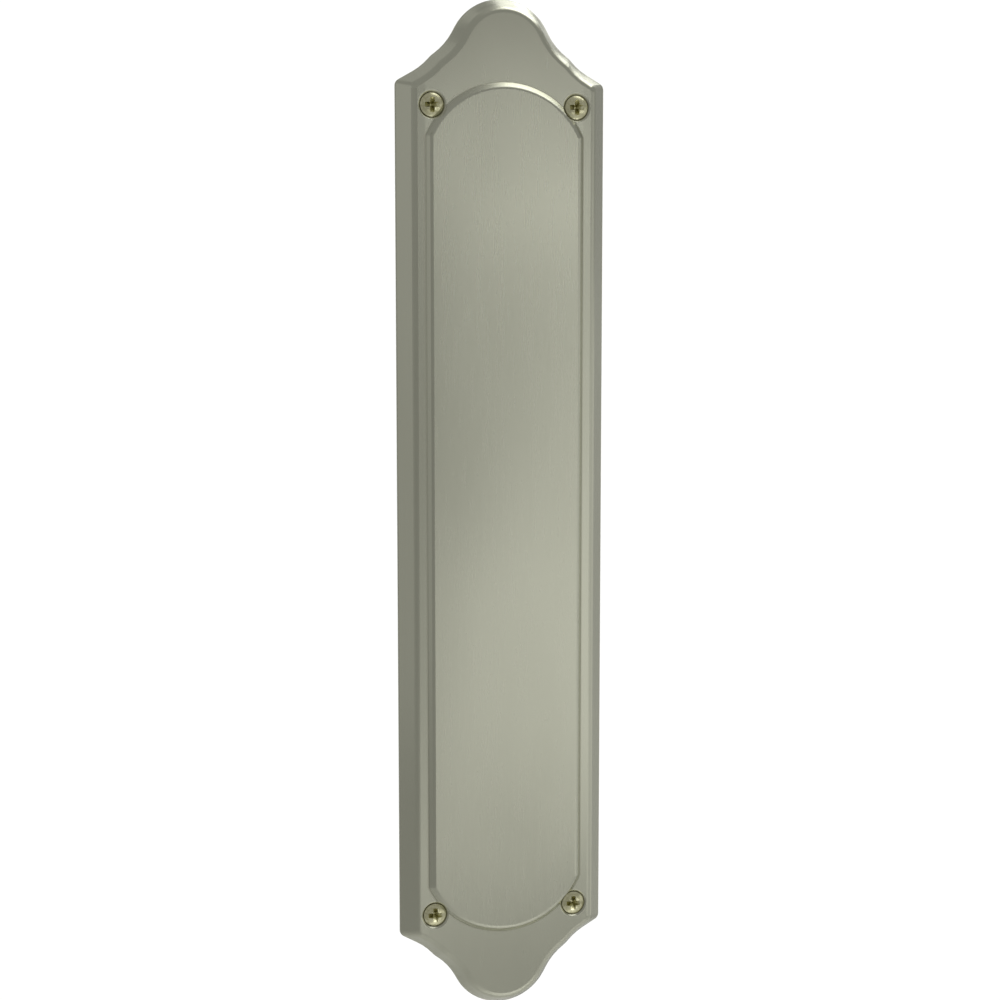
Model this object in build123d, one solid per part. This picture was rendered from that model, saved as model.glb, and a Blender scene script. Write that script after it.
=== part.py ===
from build123d import *
import math
import os

# Door handle backplate: a long cast-brass plate with a bevelled, scalloped outline and a raised panel,
# held by four raised-head countersunk wood screws. Millimetres. +Z runs up the door, the front faces -Y,
# and the origin is the middle of the back, which lies on the plane Y = 0.

# Plate outline, one quarter of it, from the crown down to the corner. Turns are in degrees.
plate_length = 290.0
plate_width = 60.6
crown_radius = 15.0
crown_turn = 61.5
neck_run = 1.5
neck_radius = 18.2
neck_turn = 26.0
bump_radius = 8.0
bump_turn = 13.0
sweep_turn = 19.0
shoulder_run = 5.75
corner_radius = 2.0

# Plate section, from the door outwards
edge_land = 0.8
edge_round = 0.9
side_bevel_run = 4.25
end_bevel_run = 2.9
border_height = 5.5
crease_round = 2.2
crease_corner_radius = 2.2
border_width = 3.2
panel_step_run = 1.45
panel_rise = 1.4
panel_round = 1.2
arch_turn = 66.0
crown_to_arch = 23.1

# Hollow back: the rim and the four bosses stand on the door
wall = 2.0
rim_width = 4.2
pocket_draft_run = 0.5
boss_radius = 6.4

# Screws: raised countersunk head, plain shank as deep as the plate, thread core in the door, gimlet point
screw_from_side = 9.4
screw_from_end = 29.6
screw_length = 20.0
shank_diameter = 3.5
core_diameter = 2.5
core_taper_length = 0.8
point_length = 4.5
point_tip_diameter = 0.4
head_diameter = 6.6
head_edge = 0.2
head_cone_angle = 90.0
head_sunk = 0.45
dome_rise = 0.9
recess_span = 4.4
recess_wing = 1.3
recess_depth = 2.0
recess_floor_span = 1.5

# Screw seats in the plate
shank_clearance = 0.25
seat_gap = 0.03
seat_flare = 0.12
seat_reach = 5.0
same_place = 0.01

half_length = plate_length / 2
half_width = plate_width / 2
panel_half_width = half_width - side_bevel_run - border_width
arch_radius = panel_half_width / math.sin(math.radians(arch_turn))
screw_x = half_width - screw_from_side
screw_z = half_length - screw_from_end


def on_plate(sketch, height):
    """Stands a flat sketch up facing the front, at a height above the door."""
    return Plane.XZ.offset(height) * sketch


def both_ends(curves):
    """Completes a closed outline from the curves of its upper right quarter and adds the straight sides."""
    upper = Curve() + curves
    right = upper + mirror(upper, about=Plane.XZ)
    corner = curves[-1] @ 1
    right += Line(corner, (corner.X, -corner.Y))
    return make_face(right + mirror(right, about=Plane.YZ))


def crown_to_bump(inset):
    """The curves of the outline's ornament that are set by themselves, moved inwards by inset."""
    crown = JernArc((0, half_length - inset), (1, 0), crown_radius - inset, -crown_turn)
    run = Line(crown @ 1, crown @ 1 + (crown % 1) * neck_run)
    neck = JernArc(run @ 1, run % 1, neck_radius + inset, neck_turn)
    bump = JernArc(neck @ 1, neck % 1, bump_radius - inset, -bump_turn)
    return [crown, run, neck, bump]


def sweep_radius():
    """The radius that carries the sweep from the bump to where the shoulder starts, whatever the width."""
    bump = crown_to_bump(0)[-1]
    entry = math.atan2(-(bump % 1).Y, (bump % 1).X)
    leave = entry - math.radians(sweep_turn)
    reach = half_width - (bump @ 1).X - shoulder_run * math.cos(leave)
    return reach / (math.sin(entry) - math.sin(leave))


def plate_outline(inset, side_inset, corner):
    """The scalloped outline, its ends moved inwards by inset and its straight sides by side_inset."""
    ornament = crown_to_bump(inset)
    bump = ornament[-1]
    sweep = JernArc(bump @ 1, bump % 1, sweep_radius() + inset, sweep_turn)
    to_side = half_width - side_inset - (sweep @ 1).X
    shoulder = Line(sweep @ 1, sweep @ 1 + (sweep % 1) * (to_side / (sweep % 1).X))

    face = both_ends([*ornament, sweep, shoulder])
    end = shoulder @ 1
    corners = [v for v in face.vertices() if abs(abs(v.X) - end.X) < same_place]
    return fillet(corners, corner)


def panel_outline(inset):
    """The raised panel's outline: straight sides under a segmental arch at each end."""
    side = panel_half_width - inset
    radius = arch_radius - inset
    centre = half_length - crown_to_arch - arch_radius
    arch = CenterArc((0, centre), radius, 90, -math.degrees(math.asin(side / radius)))
    return both_ends([arch])


def plate_body():
    """The bevelled plate with its raised panel, before the back is hollowed."""
    foot = plate_outline(0, 0, corner_radius)
    crease = plate_outline(end_bevel_run, side_bevel_run, crease_corner_radius)
    land = extrude(on_plate(foot, 0), edge_land)
    bevel = loft([on_plate(foot, edge_land), on_plate(crease, border_height)], ruled=True)
    body = land + bevel
    front = body.faces().sort_by(Axis.Y)[0]
    body = fillet(front.edges(), crease_round)
    lip = body.edges().filter_by_position(Axis.Y, -edge_land - same_place, -edge_land + same_place)
    body = fillet(lip, edge_round)

    panel_foot = on_plate(panel_outline(0), border_height)
    panel_top = on_plate(panel_outline(panel_step_run), border_height + panel_rise)
    panel = loft([panel_foot, panel_top], ruled=True)
    panel = fillet(panel.faces().sort_by(Axis.Y)[0].edges(), panel_round)
    return body + panel


def pocket():
    """The hollow of the back: drafted under the border, and one step deeper under the panel."""
    border_ceiling = border_height - wall
    mouth = plate_outline(rim_width, rim_width, crease_corner_radius)
    draft = rim_width + pocket_draft_run
    ceiling = plate_outline(draft, draft, crease_corner_radius)
    hollow = loft([on_plate(mouth, 0), on_plate(ceiling, border_ceiling)], ruled=True)
    return hollow + extrude(on_plate(panel_outline(wall), border_ceiling), panel_rise)


def screw_profile():
    """Half section of a screw, radius along X and height along Y, with the head's edge at height zero."""
    head = head_diameter / 2
    shank = shank_diameter / 2
    core = core_diameter / 2
    under_head = -head_edge - (head - shank) / math.tan(math.radians(head_cone_angle / 2))
    door_face = head_sunk - border_height
    dome = TangentArc((0, dome_rise), (head, 0), tangent=(1, 0))
    body = Polyline(
        (0, dome_rise),
        (0, -screw_length),
        (point_tip_diameter / 2, -screw_length),
        (core, point_length - screw_length),
        (core, door_face),
        (shank, door_face + core_taper_length),
        (shank, under_head),
        (head, -head_edge),
        (head, 0),
    )
    return make_face(dome + body)


def screw():
    """One screw on its own axis, head up, with a tapered cross recess."""
    blank = revolve(Plane.XZ * screw_profile(), Axis.Z)
    depth_from = dome_rise - recess_depth
    cone = Pos(0, 0, depth_from) * Cone(
        recess_floor_span / 2, recess_span / 2, recess_depth, align=(Align.CENTER, Align.CENTER, Align.MIN)
    )
    slot = Box(recess_span, recess_wing, recess_depth, align=(Align.CENTER, Align.CENTER, Align.MIN))
    cross = Pos(0, 0, depth_from) * (slot + Rot(0, 0, 90) * slot)
    return blank - (cone & cross)


def screw_seat():
    """The cutter for one countersunk hole, its height zero at the border: bore, cone and rounded lip."""
    half_angle = math.radians(head_cone_angle / 2)
    bore = shank_diameter / 2 + shank_clearance
    mouth = head_diameter / 2 + seat_gap + (head_edge + head_sunk) * math.tan(half_angle)
    lip_foot = (mouth - seat_flare * math.sin(half_angle), -seat_flare * math.cos(half_angle))
    lip_rim = (mouth + seat_flare, 0)
    cone_foot = (bore, -(mouth - bore) / math.tan(half_angle))
    lip = TangentArc(lip_foot, lip_rim, tangent=(math.sin(half_angle), math.cos(half_angle)))
    walls = Polyline(
        lip_rim,
        (lip_rim[0], seat_reach),
        (0, seat_reach),
        (0, -border_height - seat_reach),
        (bore, -border_height - seat_reach),
        cone_foot,
        lip_foot,
    )
    return revolve(Plane.XZ * make_face(lip + walls), Axis.Z)


def at_screws(shape, height):
    """Copies a shape to the four screw places, at a height above the door, its +Z out of the front."""
    places = [(x, z) for z in (screw_z, -screw_z) for x in (-screw_x, screw_x)]
    return [Pos(x, -height, z) * Rot(90, 0, 0) * shape for x, z in places]


def backplate():
    """The finished plate: hollowed round a boss for each screw, then countersunk for the four screws."""
    boss = Cylinder(boss_radius, border_height + panel_rise, align=(Align.CENTER, Align.CENTER, Align.MIN))
    hollow = pocket() - at_screws(boss, 0)
    return plate_body() - hollow - at_screws(screw_seat(), border_height)


os.makedirs("parts", exist_ok=True)
screws = Compound(children=at_screws(screw(), border_height - head_sunk))
export_step(backplate(), "parts/backplate.step")
export_step(screws, "parts/fixing_screws.step")
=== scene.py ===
import math

import bpy
from mathutils import Matrix


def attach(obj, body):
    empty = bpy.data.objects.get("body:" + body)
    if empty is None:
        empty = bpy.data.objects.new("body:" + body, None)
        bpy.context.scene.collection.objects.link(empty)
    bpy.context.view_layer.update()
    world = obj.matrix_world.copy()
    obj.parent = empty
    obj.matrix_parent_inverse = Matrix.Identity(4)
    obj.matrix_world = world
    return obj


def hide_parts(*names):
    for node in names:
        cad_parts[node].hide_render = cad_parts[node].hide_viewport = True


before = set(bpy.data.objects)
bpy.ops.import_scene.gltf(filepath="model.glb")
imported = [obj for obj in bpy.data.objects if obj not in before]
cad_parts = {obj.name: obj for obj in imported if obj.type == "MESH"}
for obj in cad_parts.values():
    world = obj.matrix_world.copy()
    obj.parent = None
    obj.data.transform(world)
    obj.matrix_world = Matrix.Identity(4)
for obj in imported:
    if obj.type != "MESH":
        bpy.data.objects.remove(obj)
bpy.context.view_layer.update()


# Backplate: one brass casting, ground flat, brushed along its length and plated with satin nickel.
# The panel carries most of the brushing and the bevels are smooth. Shade is painted into the colour beside
# the screw heads and along the panel's foot, and the hollow back keeps its cast skin under the plating.
class Wire:
    """An output in a material's node tree. Arithmetic on wires adds Math nodes."""

    def __init__(self, tree, output):
        self.tree = tree
        self.output = output

    def node(self, kind, settings, inputs, output=0):
        """Adds a node with its settings, then its socket values or links, and gives one of its outputs."""
        made = self.tree.nodes.new(kind)
        for name, value in settings.items():
            setattr(made, name, value)
        for name, value in inputs.items():
            if isinstance(value, Wire):
                self.tree.links.new(value.output, made.inputs[name])
            else:
                made.inputs[name].default_value = value
        return Wire(self.tree, made.outputs[output])

    def maths(self, operation, first, second):
        """Adds a Math node for two wires or numbers."""
        return self.node("ShaderNodeMath", {"operation": operation}, {0: first, 1: second})

    def __add__(self, other):
        return self.maths("ADD", self, other)

    def __radd__(self, other):
        return self.maths("ADD", other, self)

    def __sub__(self, other):
        return self.maths("SUBTRACT", self, other)

    def __rsub__(self, other):
        return self.maths("SUBTRACT", other, self)

    def __mul__(self, other):
        return self.maths("MULTIPLY", self, other)

    def __rmul__(self, other):
        return self.maths("MULTIPLY", other, self)

    def __pow__(self, other):
        return self.maths("POWER", self, other)

    def __abs__(self):
        return self.maths("ABSOLUTE", self, 0)

    def or_more(self, other):
        """The larger of this value and another."""
        return self.maths("MAXIMUM", self, other)

    def axis(self, letter):
        """One part of a vector."""
        return self.node("ShaderNodeSeparateXYZ", {}, {0: self}, output=letter)

    def ramp(self, low, high):
        """How far this value is from low to high, eased and held between 0 and 1."""
        limits = {"Value": self, "From Min": low, "From Max": high}
        return self.node("ShaderNodeMapRange", {"interpolation_type": "SMOOTHSTEP"}, limits)

    def noise(self, stretch, scale, detail):
        """Noise at this place, from 0 to 1, its grain stretched along each axis."""
        placed = self.node("ShaderNodeMapping", {}, {"Vector": self, "Scale": stretch})
        return self.node("ShaderNodeTexNoise", {}, {"Vector": placed, "Scale": scale, "Detail": detail})

    def colours(self, first, second):
        """A colour that goes from first to second with this value."""
        return self.node("ShaderNodeMix", {"data_type": "RGBA"}, {0: self, 6: first, 7: second}, output=2)

    def into(self, shader, socket):
        """Links this output to one of a shader's sockets."""
        self.tree.links.new(self.output, shader.inputs[socket])


def new_finish(name, metallic=1.0):
    """A finish: the material, its shader and a wire that carries the place on the piece."""
    material = bpy.data.materials.new(name)
    material.use_nodes = True
    tree = material.node_tree
    shader = tree.nodes["Principled BSDF"]
    shader.inputs["Metallic"].default_value = metallic
    place = Wire(tree, tree.nodes.new("ShaderNodeTexCoord").outputs["Object"])
    return material, shader, place


panel_half_width = 0.02285
arch_radius = 0.02501
arch_centre = 0.09689
screw_x = 0.0209
screw_z = 0.1154


def from_screws(place):
    """How far a place is from the nearest screw's axis."""
    off_x = abs(place.axis("X")) - screw_x
    off_z = abs(place.axis("Z")) - screw_z
    return (off_x * off_x + off_z * off_z) ** 0.5


anisotropy = 0.6
satin, shader, place = new_finish("satin_nickel")
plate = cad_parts["backplate"]
plate.data.materials[0] = satin
shader.inputs["Anisotropic"].default_value = anisotropy

flat_facing = (0.86, 0.99)
front_facing = (0.1, 0.4)
back_facing = (0.0, 0.2)
facing = place.node("ShaderNodeNewGeometry", {}, {}, output="Normal").axis("Y")
flat = (0 - facing).ramp(*flat_facing)
front = (0 - facing).ramp(*front_facing)
cast = facing.ramp(*back_facing)

across = abs(place.axis("X"))
up = abs(place.axis("Z"))
in_arch = (up - arch_centre).or_more(0)
from_arch = (across * across + in_arch * in_arch) ** 0.5 - arch_radius
past_panel = from_arch.or_more(across - panel_half_width)

# Painted shade: the colour is darkened in a ring round each screw head, in the seat's gap, and in a line
# along the foot of the panel's step, where shade falls. These marks are also made a little rougher.
head_gap = (0.0034, 0.0038)
foot_line = (0.0001, 0.0004)
foot_shade_share = 0.2
beside_head = 1 - from_screws(place).ramp(*head_gap)
along_foot = 1 - abs(past_panel).ramp(*foot_line)
painted_shade = (foot_shade_share * along_foot).or_more(beside_head) * front

fine_share = 0.65
noise_middle = 0.5
panel_edge = (-0.0010, 0.0010)
border_smoothness = 0.55
fine_brush = place.noise(stretch=(1.0, 1.0, 0.07), scale=1600, detail=3)
long_brush = place.noise(stretch=(1.0, 1.0, 0.04), scale=620, detail=2)
cloud = place.noise(stretch=(1.0, 1.0, 0.5), scale=28, detail=2)
wave = place.noise(stretch=(1.0, 1.0, 0.6), scale=22, detail=1)
skin = place.noise(stretch=(1.0, 1.0, 1.0), scale=1800, detail=4)
brushing = fine_brush * fine_share + long_brush * (1 - fine_share)
brushed = flat * (1 - past_panel.ramp(*panel_edge) * border_smoothness)
stroke = (brushing - noise_middle) * brushed

brush_tone = 0.5
cloud_tone = 0.5
least_tone = 0.25
nickel_shade = (0.47, 0.475, 0.38, 1)
nickel_light = (0.63, 0.635, 0.52, 1)
# Colour of the painted shade round the screw heads and along the panel's foot.
painted_shade_colour = (0.20, 0.19, 0.12, 1)
skin_shade = (0.22, 0.21, 0.15, 1)
skin_light = (0.54, 0.53, 0.43, 1)
tone = stroke * brush_tone + cloud * cloud_tone + least_tone
brushed_colour = tone.colours(nickel_shade, nickel_light)
front_colour = painted_shade.colours(brushed_colour, painted_shade_colour)
cast_colour = skin.colours(skin_shade, skin_light)
cast.colours(front_colour, cast_colour).into(shader, "Base Color")

satin_roughness = 0.27
brush_roughness = 0.05
cast_roughness = 0.22
painted_shade_roughness = 0.1
roughness = satin_roughness + stroke * brush_roughness + cast * cast_roughness + painted_shade * painted_shade_roughness
roughness.into(shader, "Roughness")

panel_crown = 0.7
border_fall = 0.05
wave_height = 0.0005
brush_height = 0.0000012
skin_height = 0.00006
fall = across * across * panel_crown + (across - panel_half_width).or_more(0) * border_fall
relief = wave * wave_height - fall + brushing * brushed * brush_height + skin * cast * skin_height
bump = relief.node("ShaderNodeBump", {}, {"Strength": 1.0, "Distance": 1.0, "Height": relief})
bump.into(shader, "Normal")


# Fixing screws: wood screws with a raised countersunk head and a cross recess, cold headed,
# rolled with a coarse thread and bright plated. Each fills one countersink and bites into the door.
head_edge_place = -0.00505
head_radius = 0.0033
head_edge = 0.0002
dome_rise = 0.0009
dome_steps = 14
shank_radius = 0.00175
shank_end = -0.0008
core_radius = 0.00125
core_start = 0.0
point_start = 0.01045
point_end = 0.01495
tip_radius = 0.0002
edge_break = 0.00005
screw_sides = 64


def turned(name, rings, sides):
    """A piece turned on the Y axis: a disc at the first ring, drawn out ring by ring.

    Each ring is a place along the axis and a radius.
    """
    along, radius = rings[0]
    bpy.ops.object.select_all(action="DESELECT")
    bpy.ops.mesh.primitive_circle_add(vertices=sides, radius=radius, fill_type="NGON")
    piece = bpy.context.object
    piece.name = name
    piece.matrix_world = Matrix.Translation((0, along, 0)) @ Matrix.Rotation(math.pi / 2, 4, "X")
    bpy.ops.object.transform_apply()
    bpy.ops.object.mode_set(mode="EDIT")
    bpy.ops.mesh.select_all(action="SELECT")
    for ring in rings[1:]:
        step = (0, ring[0] - along, 0)
        growth = ring[1] / radius
        along, radius = ring
        bpy.ops.mesh.extrude_region_move(TRANSFORM_OT_translate={"value": step})
        bpy.ops.transform.resize(value=(growth, 1, growth), center_override=(0, along, 0))
    bpy.ops.mesh.select_all(action="SELECT")
    bpy.ops.mesh.normals_make_consistent(inside=False)
    bpy.ops.object.mode_set(mode="OBJECT")
    return piece


dome_radius = (head_radius ** 2 + dome_rise ** 2) / (2 * dome_rise)
dome_centre = head_edge_place - dome_rise + dome_radius
dome_angle = math.asin(head_radius / dome_radius)
dome = []
for step in range(1, dome_steps + 1):
    angle = dome_angle * step / dome_steps
    dome.append((dome_centre - dome_radius * math.cos(angle), dome_radius * math.sin(angle)))
cone_start = head_edge_place + head_edge
cone_end = cone_start + head_radius - shank_radius
screw = turned(
    "fixing_screw",
    [
        *dome,
        (head_edge_place + edge_break, head_radius),
        (cone_start - edge_break, head_radius),
        (cone_start, head_radius - edge_break),
        (cone_end - edge_break, shank_radius + edge_break),
        (cone_end + edge_break, shank_radius),
        (shank_end, shank_radius),
        (shank_end + edge_break, shank_radius - edge_break),
        (core_start, core_radius),
        (point_start, core_radius),
        (point_end, tip_radius),
    ],
    screw_sides,
)


def cut_slot(mouth, floor_size, floor, turn):
    """Cuts a tapered slot into the head, across the screw's axis, turned about it in degrees.

    Mouth and floor sizes are span and width. The mouth stands clear above the dome.
    """
    top = head_edge_place - 2 * dome_rise
    middle = (0, (top + floor) / 2, 0)
    bpy.ops.object.select_all(action="DESELECT")
    bpy.ops.mesh.primitive_cube_add(size=1, location=middle, scale=(mouth[0], floor - top, mouth[1]))
    slot = bpy.context.object
    bpy.ops.object.transform_apply()
    bpy.ops.object.mode_set(mode="EDIT")
    bpy.ops.mesh.select_mode(type="FACE")
    bpy.ops.mesh.select_all(action="DESELECT")
    bpy.ops.object.mode_set(mode="OBJECT")
    deepest = max(slot.data.polygons, key=lambda face: face.normal.y)
    deepest.select = True
    bpy.ops.object.mode_set(mode="EDIT")
    taper = (floor_size[0] / mouth[0], 1, floor_size[1] / mouth[1])
    bpy.ops.transform.resize(value=taper, center_override=(0, floor, 0))
    bpy.ops.object.mode_set(mode="OBJECT")
    slot.rotation_euler = (0, math.radians(turn), 0)
    bpy.ops.object.transform_apply()

    cut = screw.modifiers.new("slot", "BOOLEAN")
    cut.operation = "DIFFERENCE"
    cut.solver = "EXACT"
    cut.object = slot
    bpy.context.view_layer.objects.active = screw
    bpy.ops.object.modifier_apply(modifier=cut.name)
    bpy.data.objects.remove(slot)


wing_mouth = (0.0065, 0.0019)
wing_floor = (0.0005, 0.00035)
wing_depths = (0.0022, 0.00224)
wing_turns = (0, 90)
tick_mouth = (0.0042, 0.0002)
tick_floor = (0.0042, 0.00012)
tick_depth = 0.00026
tick_turns = (45, 135)
dome_top = head_edge_place - dome_rise
for turn, depth in zip(wing_turns, wing_depths):
    cut_slot(wing_mouth, wing_floor, dome_top + depth, turn)
for turn in tick_turns:
    cut_slot(tick_mouth, tick_floor, dome_top + tick_depth, turn)

thread_pitch = 0.0016
thread_turns = 9
thread_steps = 28
thread_start = -0.0006
thread_bite = 0.0001
root_half = 0.00042
crest_half = 0.00003
thread_root = core_radius - thread_bite
rib = [
    (thread_root, -root_half),
    (shank_radius, -crest_half),
    (shank_radius, crest_half),
    (thread_root, root_half),
]
tip_rib_share = 0.25
thinnest = 0.00005
smooth_under = 32
bpy.ops.object.select_all(action="DESELECT")
bpy.ops.mesh.primitive_circle_add(vertices=len(rib), fill_type="NGON")
thread = bpy.context.object
for vertex, (radius, along) in zip(thread.data.vertices, rib):
    vertex.co = (radius, thread_start + along, 0)
winding = thread.modifiers.new("winding", "SCREW")
winding.axis = "Y"
winding.screw_offset = thread_pitch
winding.iterations = thread_turns
winding.steps = thread_steps
winding.render_steps = thread_steps
bpy.ops.object.modifier_apply(modifier=winding.name)
for vertex in thread.data.vertices:
    x, along, z = vertex.co
    radius = math.hypot(x, z)
    run_in = min(1.0, max(0.0, (along - thread_start) / thread_pitch))
    to_tip = min(1.0, max(0.0, (along - point_start) / (point_end - point_start)))
    core_here = core_radius + (tip_radius - core_radius) * to_tip
    rise = (radius - core_radius) * (run_in if radius > core_radius else 1.0)
    rise *= 1 - (1 - tip_rib_share) * to_tip
    growth = max(core_here + rise, thinnest) / radius
    vertex.co = (x * growth, min(along, point_end - thinnest), z * growth)
bpy.ops.object.mode_set(mode="EDIT")
bpy.ops.mesh.select_all(action="SELECT")
bpy.ops.mesh.fill_holes(sides=len(rib))
bpy.ops.mesh.normals_make_consistent(inside=False)
bpy.ops.object.mode_set(mode="OBJECT")

bpy.ops.object.select_all(action="DESELECT")
thread.select_set(True)
screw.select_set(True)
bpy.context.view_layer.objects.active = screw
bpy.ops.object.join()
bpy.ops.object.shade_smooth_by_angle(angle=math.radians(smooth_under))

# Painted shade: the plating's colour darkens down inside the cross recess, where shade falls. The same mask
# also makes the plating rougher there, as duller plating. The smears are random tone.
recess_from = head_edge_place - 0.0003
recess_to = head_edge_place + 0.0009
recess_reach = (0.0022, 0.0026)
smear_range = (0.3, 0.7)
smear_share = 0.6
recess_shade_share = 0.4
plating_light = (0.76, 0.74, 0.51, 1)
plating_dark = (0.42, 0.40, 0.21, 1)
plating_roughness = 0.14
smear_roughness = 0.16
sunk_roughness = 0.08
bright, shader, place = new_finish("bright_plating")
deep = place.axis("Y").ramp(recess_from, recess_to)
recess_shade_and_dulling = deep * (1 - from_screws(place).ramp(*recess_reach))
smear = place.noise(stretch=(1.0, 1.0, 1.0), scale=1500, detail=4).ramp(*smear_range)
# Colour: random smears of the plating, plus painted shade in the recess.
smear_and_recess_shade = smear * smear_share + recess_shade_and_dulling * recess_shade_share
smear_and_recess_shade.colours(plating_light, plating_dark).into(shader, "Base Color")
roughness = plating_roughness + smear * smear_roughness + recess_shade_and_dulling * sunk_roughness
roughness.into(shader, "Roughness")
screw.data.materials.clear()
screw.data.materials.append(bright)

for x in (-screw_x, screw_x):
    for z in (-screw_z, screw_z):
        fixed = screw.copy()
        fixed.data = screw.data.copy()
        fixed.data.transform(Matrix.Translation((x, 0, z)))
        bpy.context.collection.objects.link(fixed)
        fixed.name = "fixing_screw_" + ("top" if z > 0 else "foot") + ("_right" if x > 0 else "_left")
        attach(fixed, "root")
        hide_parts("fixing_screws")
bpy.data.objects.remove(screw)


# Studio: a pale floor, a white wall that glows behind the plate and fades out round it, and large soft
# lights. The camera stands where the photograph was taken from.
floor_height = -0.95
floor_size = 30
paper_white = (0.84, 0.84, 0.83, 1)
paper_roughness = 0.9
wall_place = 1.0
wall_size = 3
room_tone = (0.35, 0.35, 0.346, 1)
wall_white = (1.05, 1.05, 1.04, 1)
glow_centre = (0.45, 0.0)
glow_half = (0.65, 0.60)
glow_fade = 0.16

bpy.ops.object.select_all(action="DESELECT")
bpy.ops.mesh.primitive_plane_add(size=floor_size, location=(0, 0, floor_height))
floor = bpy.context.object
floor.name = "pale_floor"
bpy.ops.object.transform_apply()
paper, shader, _ = new_finish("pale_paper", metallic=0.0)
shader.inputs["Base Color"].default_value = paper_white
shader.inputs["Roughness"].default_value = paper_roughness
floor.data.materials.append(paper)

bpy.ops.object.select_all(action="DESELECT")
upright = (math.pi / 2, 0, 0)
bpy.ops.mesh.primitive_plane_add(size=wall_size, location=(0, wall_place, 0), rotation=upright)
wall = bpy.context.object
wall.name = "white_wall"
bpy.ops.object.transform_apply()
glow, shader, place = new_finish("white_glow", metallic=0.0)
shader.inputs["Base Color"].default_value = (0, 0, 0, 1)
shader.inputs["Specular IOR Level"].default_value = 0.0
shader.inputs["Emission Strength"].default_value = 1.0
beside = abs(place.axis("X") - glow_centre[0]).ramp(glow_half[0], glow_half[0] + glow_fade)
above = abs(place.axis("Z") - glow_centre[1]).ramp(glow_half[1], glow_half[1] + glow_fade)
((1 - beside) * (1 - above)).colours(room_tone, wall_white).into(shader, "Emission Color")
wall.data.materials.append(glow)


def softbox(name, place, turn, size, radiance):
    """A rectangular soft light. Turns are in degrees, and at no turn it faces down."""
    bpy.ops.object.light_add(type="AREA", location=place, rotation=[math.radians(t) for t in turn])
    light = bpy.context.object
    light.name = name
    light.visible_camera = False
    light.data.shape = "RECTANGLE"
    light.data.size = size[0]
    light.data.size_y = size[1]
    light.data.energy = radiance * math.pi * size[0] * size[1]


softbox("overhead_right", (0.65, 0.20, 0.95), (0, 0, 0), (1.0, 1.55), 1.3)
softbox("overhead_front", (0.58, -0.05, 0.96), (0, 0, 0), (0.75, 0.5), 1.7)
softbox("overhead_back", (0.85, 0.80, 0.94), (0, 0, 0), (0.6, 0.35), 2.0)
softbox("overhead_left", (-0.50, 0.40, 1.0), (0, 0, 0), (0.45, 0.45), 0.15)
softbox("front_upper", (0.57, -1.6, 0.165), (90, 0, 15), (0.5, 0.12), 1.55)
softbox("front_middle", (0.98, -1.6, -0.13), (90, 0, 25), (1.2, 0.32), 0.52)
softbox("front_lower", (1.00, -1.6, -0.47), (90, 0, 25), (1.6, 0.40), 0.67)
softbox("front_foot", (-0.05, -1.5, -0.58), (90, 0, 0), (0.5, 0.2), 0.5)
softbox("left", (-1.4, -0.1, 0.15), (90, 0, -90), (0.8, 1.1), 0.15)
softbox("right", (1.6, 0.20, -0.35), (90, 0, 90), (0.9, 0.8), 0.43)
softbox("right_front", (1.75, -0.75, -0.15), (90, 0, 70), (1.0, 0.9), 0.3)
softbox("below_near", (0.10, -0.26, -0.58), (155, 0, 0), (0.36, 0.12), 0.4)
softbox("below_far", (0.25, -0.50, -0.60), (145, 0, 0), (0.40, 0.14), 0.65)

world = bpy.data.worlds.new("studio")
bpy.context.scene.world = world
world.use_nodes = True
world.node_tree.nodes["Background"].inputs["Color"].default_value = room_tone
bpy.context.scene.view_settings.view_transform = "Standard"

camera_place = (-0.14992, -0.54436, 0.07237)
camera_tilt = 83.129
camera_turn = -15.398
lens_length = 71.19
sensor_width = 36
nearest = 0.01
bpy.ops.object.camera_add(location=camera_place)
camera = bpy.context.object
camera.rotation_euler = (math.radians(camera_tilt), 0, math.radians(camera_turn))
camera.data.lens = lens_length
camera.data.sensor_width = sensor_width
camera.data.clip_start = nearest
bpy.context.scene.camera = camera
